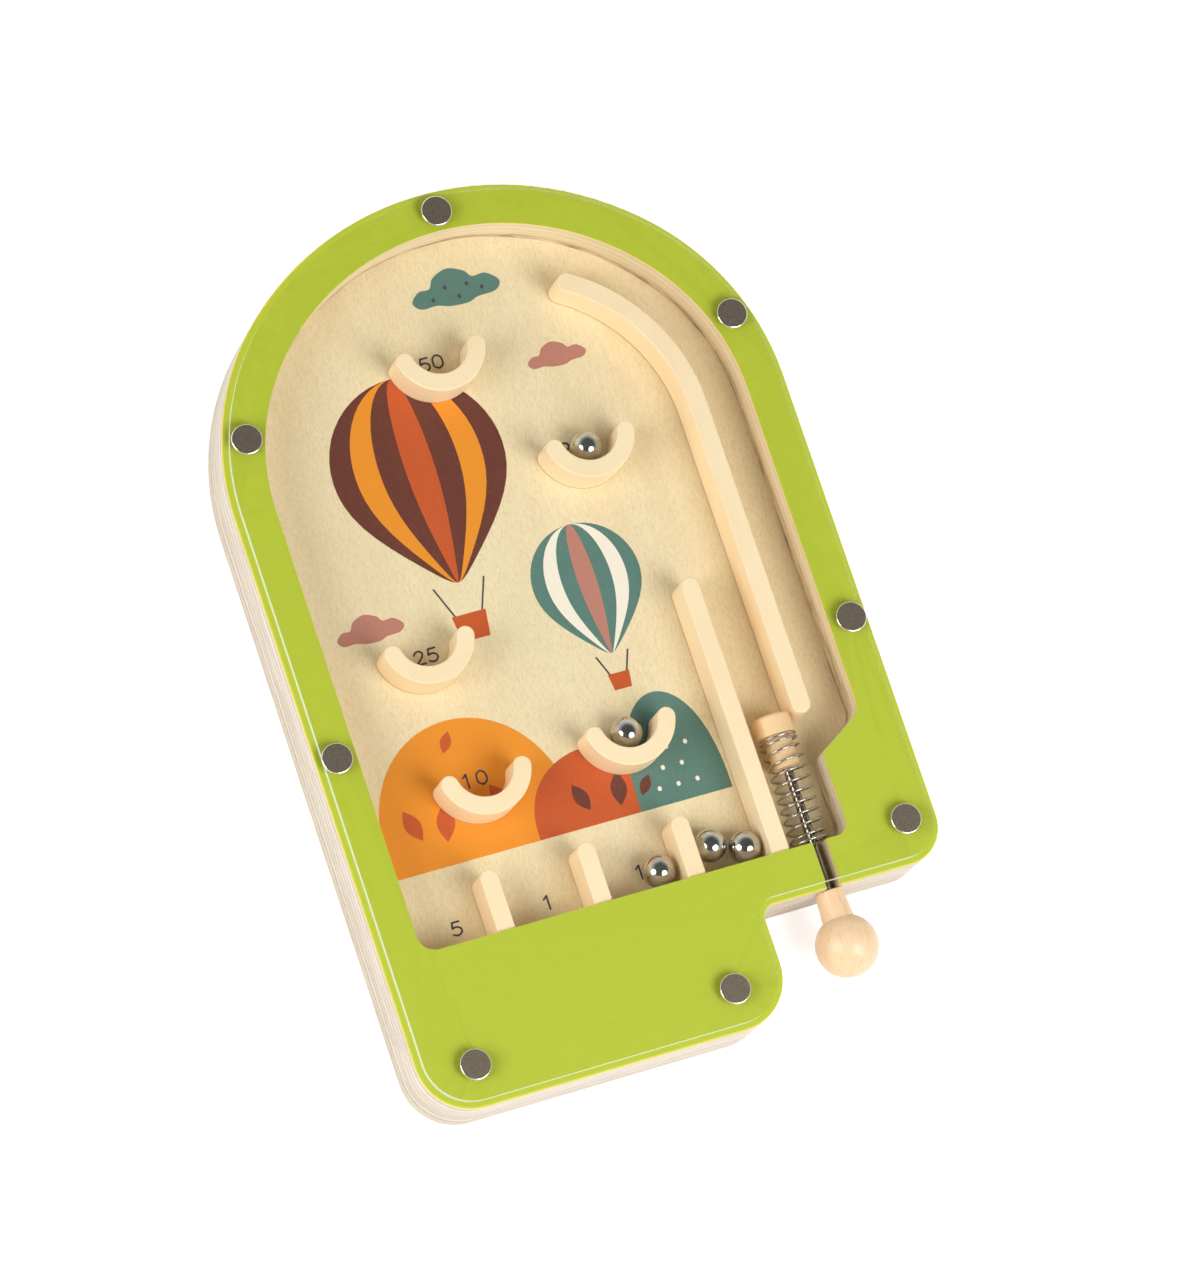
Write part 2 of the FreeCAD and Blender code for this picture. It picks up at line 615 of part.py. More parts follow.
# Head: turned hardwood. The spring sits round its spigot and pushes on its shoulder.
def make_head():
    body = new_body("plunger_head")
    sketch = new_sketch(body, "head_profile")
    radius, spigot, bore = "head_diameter / 2", "spigot_diameter / 2", "rod_diameter / 2"
    front, back = "plunger_reach + head_length", "plunger_reach - spigot_length"
    closed_outline(sketch, [
        Corner("0", front),
        Corner(radius, front, "head_rounding"),
        Corner(radius, "plunger_reach", "head_back_edge"),
        Corner(spigot, "plunger_reach"),
        Corner(spigot, back, "head_back_edge"),
        Corner(bore, back),
        Corner(bore, back + " + head_socket"),
        Corner("0", back + " + head_socket"),
    ])
    revolve(body, sketch)
    place_on_axis(body)


# Knob: a turned ball with a slightly tapered neck, bored for the rod.
def make_knob():
    body = new_body("plunger_knob")
    sketch = new_sketch(body, "knob_profile")
    ball, root, bore = "knob_ball_diameter / 2", "neck_root_diameter / 2", "rod_diameter / 2"
    middle = "-knob_length + " + ball
    root_y = middle + " + sqrt((%s) ^ 2 - (%s) ^ 2)" % (ball, root)
    sides = chain(sketch, [
        Corner(root, root_y),
        Corner("neck_end_diameter / 2", "0", "neck_edge"),
        Corner(bore, "0"),
        Corner(bore, "-knob_socket"),
        Corner("0", "-knob_socket"),
        Corner("0", "-knob_length"),
    ])
    centre = FreeCAD.Vector(0, size(middle), 0)
    begin = math.atan2(size(root_y) - centre.y, size(root))
    curve = sketch.addGeometry(Part.ArcOfCircle(Part.Circle(centre, UP, size(ball)), -math.pi / 2, begin))
    sketch.addConstraint(Sketcher.Constraint("Coincident", curve, END, sides[0][0], START))
    sketch.addConstraint(Sketcher.Constraint("Coincident", curve, START, sides[-1][0], END))
    sketch.addConstraint(Sketcher.Constraint("PointOnObject", curve, START, V_AXIS))
    fix_point(sketch, curve, CENTRE, "0", middle)
    fix(sketch, "Radius", curve, ball)
    fix(sketch, "DistanceX", H_AXIS, START, sides[0][0], START, root)
    revolve(body, sketch)
    place_on_axis(body)


def biarc(begin, heading, finish, finish_heading):
    """Two arcs that leave one point and reach another along given directions."""
    chord = finish - begin
    both = heading + finish_heading
    spread = 2 * (1 - heading.dot(finish_heading))
    slope = 2 * chord.dot(both)
    reach = (-slope + math.sqrt(slope ** 2 + 4 * spread * chord.dot(chord))) / (2 * spread)
    knees = (begin + heading * reach, finish - finish_heading * reach)
    middle = (knees[0] + knees[1]) * 0.5
    edges = []
    for start, knee, stop in ((begin, knees[0], middle), (middle, knees[1], finish)):
        foot = (start + stop) * 0.5
        rise, half = (knee - foot).Length, (stop - foot).Length
        top = foot + (knee - foot).normalize() * (half * math.tan(math.atan2(rise, half) / 2))
        edges.append(Part.Arc(start, top, stop).toShape())
    return edges


def least_gap(points, wire, apart):
    """Least clear space between stretches of a wire that lie apart along it."""
    nearest = min((points[i] - points[j]).Length
                  for i in range(len(points)) for j in range(i + apart, len(points)))
    return nearest - wire


# Spring: one wire coiled along Y, with a closed turn at each end and beside it a turn
# that opens. It leans a little towards the straight rail below the head's spigot.
def make_spring():
    wire, radius = size("wire_diameter"), size("coil_diameter / 2")
    closed, turns = size("closed_pitch"), size("open_turns")
    length = size("notch_y + plunger_reach - window_bottom - 2 * spring_gap - wire_diameter")
    pitch = (length - 3 * closed) / (turns + 1)
    total = turns + 4

    def along(turn):
        """Distance up the spring after some turns. Its two halves are alike."""
        if turn > total / 2:
            return length - along(total - turn)
        if turn < 1:
            return closed * turn
        if turn < 2:
            return closed * turn + (pitch - closed) * (turn - 1) ** 2 / 2
        return closed + (closed + pitch) / 2 + pitch * (turn - 2)

    def aside(turn):
        """How far the coil's middle lies off the axis: none on the spigot, most at the wall."""
        free = length - size("spigot_length")
        return -size("spring_lean") * max(1 - along(turn) / free, 0)

    def coil(turn):
        angle = 2 * math.pi * turn
        return FreeCAD.Vector(aside(turn) + radius * math.cos(angle), along(turn), -radius * math.sin(angle))

    def direction(turn):
        """Heading of the wire, with its drift and climb over a short stretch on both sides."""
        angle = 2 * math.pi * turn
        low, high = max(turn - SHORT_STRETCH, 0), min(turn + SHORT_STRETCH, total)
        run = 2 * math.pi * radius * (high - low)
        drift, climb = (aside(high) - aside(low)) / run, (along(high) - along(low)) / run
        return FreeCAD.Vector(drift - math.sin(angle), climb, -math.cos(angle)).normalize()

    stops = [quarter / 4 for quarter in range(int(round(total * 4)) + 1)]
    edges = []
    for first, second in zip(stops, stops[1:]):
        edges += biarc(coil(first), direction(first), coil(second), direction(second))
    path = Part.Wire(edges)
    ring = Part.Wire(Part.Circle(coil(0), direction(0), wire / 2).toShape())
    feature = doc.addObject("Part::Feature", "plunger_spring")
    feature.Label = "plunger_spring"
    feature.Shape = path.makePipeShell([ring], True, False)
    place(feature, "plunger_x", "window_bottom + spring_gap + wire_diameter / 2",
          "base_thickness + frame_thickness / 2")
    parts.append(feature)
    samples = [coil(step / TURN_SAMPLES) for step in range(int(total * TURN_SAMPLES) + 1)]
    gap = least_gap(samples, wire, TURN_SAMPLES // 2)
    print("spring: pitch %.2f, least gap to itself %.2f mm" % (pitch, gap))
    print("spring: volume %.2f, section times length %.2f"
          % (feature.Shape.Volume, math.pi * wire ** 2 / 4 * path.Length))


# Balls: one in each of two cups and three in the slots under the field.
def make_balls():
    radius = "ball_diameter / 2"
    in_cup = "cup_%d_y - cup_mid_radius + cup_wall / 2 + ball_diameter / 2 + ball_cup_gap"
    floor = "window_bottom + ball_end_gap + " + radius
    beside_rail = "straight_rail_x - divider_width / 2 - ball_side_gap - " + radius
    places = [
        ("cup_2_x", in_cup % 2),
        ("cup_4_x", in_cup % 4),
        ("divider_3_x - divider_width / 2 - ball_lean_gap - " + radius, floor),
        (beside_rail + " - ball_diameter - ball_pair_gap", floor + " + ball_pair_step"),
        (beside_rail, floor),
    ]
    for number, (x, y) in enumerate(places, start=1):
        ball = doc.addObject("Part::Sphere", "ball_%d" % number)
        ball.Label = "ball_%d" % number
        bind(ball, Radius=radius)
        place(ball, x, y, "base_thickness + ball_gap + " + radius)
        parts.append(ball)


make_base()
make_frame()
make_cover()
make_nails()
for cup_number in range(1, CUPS + 1):
    make_cup(cup_number)
for divider_number in range(1, DIVIDERS + 1):
    make_strip("divider_%d" % divider_number, "divider_%d_x" % divider_number, "divider_top")
make_strip("straight_rail", "straight_rail_x", "straight_rail_top")
make_lane_rail()
make_rod()
make_head()
make_knob()
make_spring()
make_balls()
doc.recompute()

for thing in doc.Objects:
    if "Invalid" in thing.State or "Error" in thing.State:
        raise RuntimeError("%s failed: %s" % (thing.Label, thing.State))
    if thing.TypeId == "Sketcher::SketchObject" and not thing.FullyConstrained:
        raise RuntimeError("%s is not fully constrained" % thing.Label)
os.makedirs("parts", exist_ok=True)
for thing in parts:
    if thing.Shape.isNull() or not thing.Shape.isValid():
        raise RuntimeError("%s has no valid shape" % thing.Label)
for thing in parts:
    thing.Shape.exportStep("parts/%s.step" % thing.Label)
    print("%-14s %d solids, %.1f cubic mm" % (thing.Label, len(thing.Shape.Solids), thing.Shape.Volume))
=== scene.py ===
import math
import bpy
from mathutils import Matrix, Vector


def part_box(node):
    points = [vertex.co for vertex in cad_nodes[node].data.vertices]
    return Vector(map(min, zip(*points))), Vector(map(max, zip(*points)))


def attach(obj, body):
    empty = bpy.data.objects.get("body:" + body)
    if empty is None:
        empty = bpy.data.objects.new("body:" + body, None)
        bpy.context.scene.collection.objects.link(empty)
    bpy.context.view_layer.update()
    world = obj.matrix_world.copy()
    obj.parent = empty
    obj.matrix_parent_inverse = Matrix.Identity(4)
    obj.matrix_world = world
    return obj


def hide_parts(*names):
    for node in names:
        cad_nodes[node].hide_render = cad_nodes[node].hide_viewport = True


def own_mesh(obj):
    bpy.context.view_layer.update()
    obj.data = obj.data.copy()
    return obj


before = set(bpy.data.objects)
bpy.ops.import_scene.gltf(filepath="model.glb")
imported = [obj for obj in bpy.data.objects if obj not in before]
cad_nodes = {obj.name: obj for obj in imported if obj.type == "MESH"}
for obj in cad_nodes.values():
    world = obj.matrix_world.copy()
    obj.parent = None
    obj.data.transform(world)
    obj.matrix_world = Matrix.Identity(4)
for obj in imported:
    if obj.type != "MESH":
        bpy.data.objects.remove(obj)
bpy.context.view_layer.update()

# Base panel. One birch plywood panel, sawn to the arched outline with bare edges.
# Its upper face is the floor of the game, where the nails' ends and the glue hold.
MM = 0.001
base_low, base_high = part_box("base_panel")
FLOOR_Z = base_high.z
FACE_VENEER = (246, 229, 190)
FACE_GRAIN = (228, 202, 152)
PLY_LIGHT = (238, 234, 223)
PLY_WARM = (222, 207, 184)
PLY_DARK = (194, 169, 140)
PLY_GLUE = (118, 82, 60)
PLY_THICKNESS = 1.36 * MM


def colour(rgb):
    """A painter's 0 to 255 colour as the linear colour that shaders take."""
    parts = [c / 255 for c in rgb]
    return [c / 12.92 if c <= 0.04045 else ((c + 0.055) / 1.055) ** 2.4 for c in parts] + [1.0]


class Finish:
    """A material, with short calls for the nodes that give its colour, grain and relief."""

    def __init__(self, name, roughness, **sockets):
        self.material = bpy.data.materials.new(name)
        self.material.use_nodes = True
        self.tree = self.material.node_tree
        self.shader = self.tree.nodes["Principled BSDF"]
        self.set("Roughness", roughness)
        for key, value in sockets.items():
            self.set(key.replace("_", " "), value)
        self.place = self.add("TexCoord").outputs["Object"]
        self.normal = self.add("NewGeometry").outputs["True Normal"]

    def set(self, socket, value):
        """Give one of the shader's sockets a value, or link it to a node."""
        self.plug(self.shader.inputs[socket], value)

    def plug(self, socket, value):
        if isinstance(value, bpy.types.NodeSocket):
            self.tree.links.new(value, socket)
        else:
            socket.default_value = value

    def add(self, kind, **settings):
        node = self.tree.nodes.new("ShaderNode" + kind)
        for key, value in settings.items():
            setattr(node, key, value)
        return node

    def math(self, operation, first, second=0.0):
        node = self.add("Math", operation=operation)
        self.plug(node.inputs[0], first)
        self.plug(node.inputs[1], second)
        return node.outputs[0]

    def vector(self, operation, first, second, output="Vector"):
        node = self.add("VectorMath", operation=operation)
        self.plug(node.inputs[0], first)
        self.plug(node.inputs[1], second)
        return node.outputs[output]

    def axis(self, vector, name):
        node = self.add("SeparateXYZ")
        self.plug(node.inputs[0], vector)
        return node.outputs[name]

    def step(self, value, low, high):
        """From 0 at low to 1 at high, smoothly."""
        node = self.add("MapRange", interpolation_type="SMOOTHSTEP")
        for name, number in (("Value", value), ("From Min", low), ("From Max", high)):
            self.plug(node.inputs[name], number)
        return node.outputs[0]

    def times(self, *factors):
        """Product of two or more values."""
        product = factors[0]
        for factor in factors[1:]:
            product = self.math("MULTIPLY", product, factor)
        return product

    def noise(self, stretch, detail=3.0, roughness=0.5, distortion=0.0):
        """Noise over the object, in waves per millimetre along X, Y and Z."""
        node = self.add("TexNoise")
        spread = self.vector("MULTIPLY", self.place, [waves / MM for waves in stretch])
        self.plug(node.inputs["Vector"], spread)
        for name, number in (("Scale", 1.0), ("Detail", detail), ("Roughness", roughness),
                             ("Distortion", distortion)):
            self.plug(node.inputs[name], number)
        return node.outputs["Fac"]

    def blend(self, amount, first, second):
        """First colour where the amount is 0, and second where it is 1."""
        node = self.add("Mix", data_type="RGBA")
        self.plug(node.inputs[0], amount)
        for socket, value in ((node.inputs[6], first), (node.inputs[7], second)):
            self.plug(socket, colour(value) if isinstance(value, tuple) else value)
        return node.outputs[2]

    def relief(self, height, depth):
        """Bump of so many millimetres."""
        node = self.add("Bump")
        self.plug(node.inputs["Height"], height)
        self.plug(node.inputs["Distance"], depth * MM)
        self.set("Normal", node.outputs["Normal"])


def along_edge(finish):
    """Plies seen on a sawn edge: pale streaked layers, with thin and broken glue lines."""
    height = finish.math("DIVIDE", finish.axis(finish.place, "Z"), PLY_THICKNESS)
    layer = finish.math("FLOOR", height)
    every_other = finish.times(finish.math("MODULO", layer, 2.0), 0.55)
    own_tone = finish.add("TexWhiteNoise", noise_dimensions="1D")
    finish.plug(own_tone.inputs["W"], layer)
    shade = finish.math("ADD", every_other, finish.times(own_tone.outputs["Value"], 0.45))
    share = finish.math("SUBTRACT", height, layer)
    streak = finish.noise((0.04, 0.04, 3.2), detail=4)
    pores = finish.noise((1.3, 1.3, 4.0), detail=3)
    pale = finish.blend(finish.step(streak, 0.35, 0.7), PLY_LIGHT, PLY_WARM)
    dark = finish.blend(finish.step(pores, 0.35, 0.7), PLY_DARK, PLY_WARM)
    plies = finish.blend(shade, pale, dark)
    edge = finish.math("ABSOLUTE", finish.math("SUBTRACT", share, 0.5))
    broken = finish.step(finish.noise((0.09, 0.09, 0.8), detail=2), 0.38, 0.62)
    line = finish.times(finish.step(edge, 0.36, 0.5), broken, 0.8)
    return finish.blend(line, plies, PLY_GLUE)


def on_face(finish, light, dark):
    """Rotary-cut face veneer, nearly even, with its fine grain up the board."""
    wide = finish.noise((0.09, 0.012, 0.1), detail=3, distortion=0.4)
    fine = finish.noise((3.0, 0.8, 1.0), detail=4, roughness=0.7)
    tone = finish.blend(finish.times(finish.step(wide, 0.35, 0.8), 0.3), light, dark)
    return finish.blend(finish.times(finish.step(fine, 0.4, 0.7), 0.75), tone, dark)


def facing(finish):
    """1 on the level faces of a panel and 0 on its edges."""
    return finish.step(finish.math("ABSOLUTE", finish.axis(finish.normal, "Z")), 0.45, 0.55)


birch = Finish("birch_plywood", 0.55)
veneer = on_face(birch, FACE_VENEER, FACE_GRAIN)
birch.set("Base Color", birch.blend(facing(birch), along_edge(birch), veneer))
birch.relief(birch.noise((1.4, 0.09, 1.4), detail=3), 0.03)
cad_nodes["base_panel"].data.materials[0] = birch.material

# Print. Flat inks on the floor under the cups: two balloons, clouds and low hills in
# brown, orange, rust, teal and pink. Each patch is a film of 0.02 mm, a hair above the
# one printed before it.
INK_HEIGHT = 0.02 * MM
INK_RISE = 0.0004 * MM
INK_FADE = 0.12
INKS = {
    "brown": (100, 44, 28),
    "orange": (238, 146, 28),
    "rust": (200, 84, 28),
    "teal": (86, 124, 114),
    "pink": (190, 126, 110),
    "slate": (72, 66, 74),
    "chalk": (250, 240, 222),
}


def ink(name, rgb):
    """Matt ink, speckled where the wood's pores show through."""
    finish = Finish("ink_" + name, 0.6)
    grain = finish.noise((2.6, 1.6, 1.0), detail=3, roughness=0.7)
    faded = tuple(int(c + (wood - c) * INK_FADE) for c, wood in zip(rgb, FACE_VENEER))
    finish.set("Base Color", finish.blend(finish.step(grain, 0.5, 0.75), rgb, faded))
    finish.relief(finish.noise((1.4, 0.09, 1.4), detail=3), 0.02)
    return finish.material


ink_finishes = {name: ink(name, rgb) for name, rgb in INKS.items()}


def print_patch(name, outline, finish, layer):
    """Closed film from an outline in millimetres, with y from the board's lower edge."""
    mesh = bpy.data.meshes.new(name)
    ring = [(x * MM, base_low.y + y * MM) for x, y in outline]
    bottom = FLOOR_Z + layer * INK_RISE
    top = bottom + INK_HEIGHT
    points = [(x, y, bottom) for x, y in ring] + [(x, y, top) for x, y in ring]
    count = len(ring)
    faces = [list(range(count - 1, -1, -1)), list(range(count, 2 * count))]
    faces += [[i, (i + 1) % count, count + (i + 1) % count, count + i] for i in range(count)]
    mesh.from_pydata(points, [], faces)
    mesh.update()
    piece = bpy.data.objects.new(name, mesh)
    bpy.context.collection.objects.link(piece)
    mesh.materials.append(finish)
    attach(piece, "case")


def curve(corners, steps):
    """Points on a smooth curve from the second of four corners, up to the third."""
    before, start, end, after = (Vector(corner) for corner in corners)
    points = []
    for step in range(steps):
        t = step / steps
        near = 2 * start + (end - before) * t
        far = (2 * before - 5 * start + 4 * end - after) * t ** 2
        point = (near + far + (3 * start - before - 3 * end + after) * t ** 3) / 2
        points.append((point.x, point.y))
    return points


def oval(x, y, half_width, half_height, steps=16):
    """Dot round x, y."""
    angles = [2 * math.pi * i / steps for i in range(steps)]
    return [(x + half_width * math.cos(a), y + half_height * math.sin(a)) for a in angles]


THROAT_DROOP = 0.42


def envelope(x, y, radius, share, steps=48):
    """A balloon's skin: round above and drawn in to a throat. A share narrows it to a gore."""
    line = []
    for i in range(steps):
        angle = 2 * math.pi * i / steps
        side, up = math.sin(angle), math.cos(angle)
        droop = 1.0 if up > 0 else 1.0 + THROAT_DROOP * up ** 2
        pinch = 1.0 if up > 0 else 1.0 - 0.55 * up ** 4
        line.append((x + radius * side * pinch * share, y + radius * up * droop))
    return line


def hill(x, foot, half_width, height, steps=40):
    """Low mound on a level foot, with x at its middle."""
    angles = [math.pi * i / steps for i in range(steps + 1)]
    return [(x + half_width * math.cos(a), foot + height * math.sin(a) ** 0.8) for a in angles]


def cloud(x, y, size):
    """Lumpy cloud, twice as wide as its size."""
    bumps = [(-1.0, 0.1), (-0.8, 0.4), (-0.55, 0.42), (-0.4, 0.75), (-0.05, 0.95),
             (0.3, 0.75), (0.45, 0.5), (0.75, 0.5), (1.0, 0.15), (0.85, -0.15),
             (0.45, -0.2), (0.2, -0.32), (-0.2, -0.3), (-0.5, -0.18), (-0.85, -0.18)]
    corners = [(x + a * size, y + b * size * 0.66) for a, b in bumps]
    line = []
    for i in range(len(corners)):
        line += curve([corners[(i + k) % len(corners)] for k in (-1, 0, 1, 2)], 10)
    return line


def leaf(x, y, length, turn, steps=24):
    """Pointed oval that starts at x, y and leans by so many degrees."""
    lean = math.radians(turn)
    line = []
    for i in range(steps):
        t = 2 * i / steps
        along, side = (t, 1) if t <= 1 else (2 - t, -1)
        width = 0.24 * length * math.sin(math.pi * along) * side
        ahead = along * length
        line.append((x + ahead * math.sin(lean) + width * math.cos(lean),
                     y + ahead * math.cos(lean) - width * math.sin(lean)))
    return line


BALLOONS = [
    (-22.0, 164.0, 23.0, ("brown", "orange", "brown", "rust")),
    (10.5, 124.0, 14.5, ("teal", "chalk", "teal", "pink")),
]
GORE_SHARES = (1.0, 0.74, 0.46, 0.17)
HALF_ROPE = 0.25
patches = []
for x, y, radius, inks in BALLOONS:
    for share, name in zip(GORE_SHARES, inks):
        patches.append((envelope(x, y, radius, share), name))
    throat = y - radius * (1 + THROAT_DROOP)
    brim = throat - radius * 0.36
    basket = radius * 0.2
    for side in (-1, 1):
        top, low = x + side * radius * 0.3, x + side * basket * 0.8
        patches.append(([(top - HALF_ROPE, throat), (top + HALF_ROPE, throat),
                         (low + HALF_ROPE, brim), (low - HALF_ROPE, brim)], "slate"))
    patches.append(([(x - basket, brim), (x - basket * 0.8, brim - basket * 1.5),
                     (x + basket * 0.8, brim - basket * 1.5), (x + basket, brim)], "rust"))
patches += [
    (cloud(2.0, 204.0, 12.0), "teal"),
    (cloud(-48.0, 124.0, 9.0), "pink"),
    (cloud(22.0, 181.0, 8.0), "pink"),
    (hill(-37.0, 62.0, 26.0, 36.0), "orange"),
    (hill(-4.0, 62.0, 19.0, 20.0), "rust"),
    (hill(17.0, 62.0, 12.5, 29.0), "teal"),
]
LEAVES = [
    (-52, 70, 9, -18, "rust"), (-46, 68, 10, 12, "rust"), (-40, 90, 6, 30, "rust"),
    (-28, 72, 8, -24, "rust"), (-20, 66, 7, 20, "rust"),
    (-8, 66, 8, -20, "brown"), (0, 65, 9, 10, "brown"), (6, 66, 6, 35, "brown"),
]
for x, y, length, turn, name in LEAVES:
    patches.append((leaf(x, y, length, turn), name))
DOT_STEP = 5.2
for row in range(4):
    for column in range(3 - row % 2):
        x = 11.0 + column * DOT_STEP + row % 2 * DOT_STEP / 2
        patches.append((oval(x, 66.5 + row * 5.0, 0.55, 0.65), "chalk"))
for x, y in ((-4.5, 204.2), (-0.5, 206.8), (2.5, 203.6), (5.4, 206.4), (9.0, 204.6)):
    patches.append((oval(x, y, 0.5, 0.6), "slate"))
for layer, (outline, name) in enumerate(patches):
    print_patch("print_%02d_%s" % (layer + 1, name), outline, ink_finishes[name], layer)

# Scores. Small printed figures by the cups and in the slots, drawn with a pen of even
# width and round ends in dark grey-blue ink.
FIGURE_HEIGHT = 3.5
FIGURE_WIDTH = 4.2
PEN_WIDTH = 0.5
FIGURE_STEP = 0.84
ROUND_END_STEPS = 6
FIGURES = {
    "0": [[(0.35, 0.0), (0.08, 0.2), (0.05, 0.5), (0.1, 0.82), (0.35, 1.0), (0.6, 0.82),
           (0.66, 0.5), (0.6, 0.18), (0.35, 0.0)]],
    "1": [[(0.05, 0.78), (0.28, 1.0)], [(0.28, 1.0), (0.28, 0.0)]],
    "2": [[(0.06, 0.78), (0.2, 0.96), (0.42, 0.98), (0.58, 0.8), (0.5, 0.52), (0.05, 0.02)],
          [(0.05, 0.02), (0.64, 0.02)]],
    "5": [[(0.6, 0.98), (0.16, 0.98)], [(0.16, 0.98), (0.1, 0.56)],
          [(0.1, 0.56), (0.36, 0.62), (0.6, 0.46), (0.6, 0.18), (0.36, 0.0), (0.06, 0.1)]],
}
SCORES = [("50", -13.6, 186.6), ("20", 14.9, 155.8), ("25", -39.4, 113.4), ("10", -37.4, 79.8),
          ("5", -52.4, 44.6), ("1", -27.4, 44.6), ("1", -2.0, 45.6)]


def round_end(centre, start):
    """Points half round a pen stroke's end, clockwise from its edge at centre + start."""
    first = math.atan2(start.y, start.x)
    angles = [first - math.pi * k / ROUND_END_STEPS for k in range(1, ROUND_END_STEPS)]
    return [centre + Vector((math.cos(a), math.sin(a))) * PEN_WIDTH / 2 for a in angles]


def pen_stroke(points):
    """Outline of one stroke with round ends."""
    line = []
    for i, point in enumerate(points):
        before, after = points[max(i - 1, 0)], points[min(i + 1, len(points) - 1)]
        way = (Vector(after) - Vector(before)).normalized()
        line.append((Vector(point), Vector((-way.y, way.x)) * PEN_WIDTH / 2))
    left = [middle + half for middle, half in line]
    right = [middle - half for middle, half in reversed(line)]
    (first, first_half), (last, last_half) = line[0], line[-1]
    outline = left + round_end(last, last_half) + right + round_end(first, -first_half)
    return [(point.x, point.y) for point in outline]


def smooth_run(points):
    """Points along an open line: a smooth curve, or straight if it has few corners."""
    if len(points) < 4:
        return points
    padded = [points[0], *points, points[-1]]
    line = []
    for i in range(len(points) - 1):
        line += curve(padded[i:i + 4], 8)
    return line + [points[-1]]


for text, left, foot in SCORES:
    for place, figure in enumerate(text):
        for number, stroke in enumerate(FIGURES[figure]):
            run = smooth_run([(left + (place * FIGURE_STEP + a) * FIGURE_WIDTH,
                               foot + b * FIGURE_HEIGHT) for a, b in stroke])
            label = "score_%s_%d_%d_%s_%d" % (text, round(left + 70), place, figure, number)
            print_patch(label, pen_stroke(run), ink_finishes["slate"], len(patches) + 1)

# Cups, dividers and rails. Pale hardwood strips, sanded smooth and glued on the floor.
# The cups are bent like horseshoes and the long rail turns the balls at the top.
SANDED_LIGHT = (255, 232, 192)
SANDED_DARK = (250, 213, 163)
STRIP_FOOT_DARK = (160, 106, 60)


def sanded_wood(name, light, dark, stretch, roughness=0.5, grain=0.3, foot=0.0, **sockets):
    """Fine-grained pale wood. foot is how much darker it grows in its lowest 0.6 mm, at the floor.
    """
    finish = Finish(name, roughness, **sockets)
    cloudy = finish.noise((0.05, 0.05, 0.05), detail=2)
    fine = finish.noise(stretch, detail=3, roughness=0.6)
    tone = finish.blend(finish.times(finish.step(cloudy, 0.3, 0.8), 0.35), light, dark)
    grained = finish.blend(finish.times(finish.step(fine, 0.45, 0.8), grain), tone, dark)
    height = finish.math("SUBTRACT", finish.axis(finish.place, "Z"), FLOOR_Z)
    # Darker towards the floor, in the lowest 0.6 mm of the wood.
    darker_foot = finish.times(finish.step(height, 0.6 * MM, 0.1 * MM), foot)
    finish.set("Base Color", finish.blend(darker_foot, grained, STRIP_FOOT_DARK))
    finish.relief(fine, 0.02)
    return finish.material


strip_wood = sanded_wood("sanded_strip_wood", SANDED_LIGHT, SANDED_DARK, (1.6, 0.12, 0.4),
                         foot=0.8)
for name, node in cad_nodes.items():
    if name.startswith(("cup_", "divider_")) or name.endswith("_rail"):
        node.data.materials[0] = strip_wood

# Frame. The second plywood panel, sawn to the same outline with the recess cut out.
# Its top is sprayed yellow-green. Its inner wall is painted paler than the outer edges,
# as painted light against the recess's shade, and it darkens towards its foot, up to a
# greater height beside the plunger.
frame_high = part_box("frame")[1]
PAINT = (182, 196, 52)
PAINT_THIN = (196, 203, 64)
PAINT_EDGE = (228, 206, 30)
INNER_WALL_LIFT = (255, 235, 188)
WALL_FOOT_DARK = (128, 82, 48)
FOOT_DARK_FULL = 1.2 * MM
FOOT_DARK_TOP = 3.4 * MM
FOOT_DARK_TOP_BY_PLUNGER = 9.0 * MM
PAINT_RUN = 0.5 * MM
painted = Finish("painted_plywood", 0.42)
over_x, over_y, over_z = (painted.axis(painted.place, name) for name in "XYZ")

# The inner wall faces the middle of the board, and the outer one faces away from it.
faced_middle = painted.vector("DOT_PRODUCT", painted.normal, painted.place, "Value")
inward = painted.step(faced_middle, 0.0, -0.01)
lower = painted.step(over_y, base_low.y + 150 * MM, base_low.y + 70 * MM)
beside = painted.step(over_x, base_high.x - 45 * MM, base_high.x - 30 * MM)
deeper = painted.times(lower, beside, FOOT_DARK_TOP_BY_PLUNGER - FOOT_DARK_TOP)
darkening_top = painted.math("ADD", deeper, FOOT_DARK_TOP)
# The inner wall is darker towards its foot, in blotches: fully to 1.2 mm, fading out by 3.4 mm, or
# by 9 mm beside the plunger.
band = painted.step(painted.math("SUBTRACT", over_z, FLOOR_Z), darkening_top, FOOT_DARK_FULL)
foot_patches = painted.step(painted.noise((0.12, 0.12, 1.0), detail=4, roughness=0.6), 0.4, 0.62)
uneven = painted.math("ADD", painted.times(foot_patches, 0.7), 0.1)
wall_foot_darkening = painted.times(band, inward, uneven)
# Painted light: the inner wall is painted paler than the outer edges, against the recess's shade.
painted_lift = painted.blend(painted.times(inward, 0.5), along_edge(painted), INNER_WALL_LIFT)
sawn = painted.blend(wall_foot_darkening, painted_lift, WALL_FOOT_DARK)

# The spray has run over the top corner of the outer and inner walls by half a millimetre.
run_z = frame_high.z - PAINT_RUN
lip = painted.step(over_z, run_z - 0.05 * MM, run_z + 0.05 * MM)
walls = painted.blend(lip, sawn, PAINT_EDGE)
thin_paint = painted.times(painted.noise((0.2, 0.2, 0.2), detail=3), 0.25)
mottled = painted.blend(thin_paint, PAINT, PAINT_THIN)
topside = painted.step(painted.axis(painted.normal, "Z"), 0.75, 0.9)
painted.set("Base Color", painted.blend(topside, walls, mottled))
painted.relief(painted.noise((0.8, 0.8, 0.8), detail=3), 0.015)
cad_nodes["frame"].data.materials[0] = painted.material

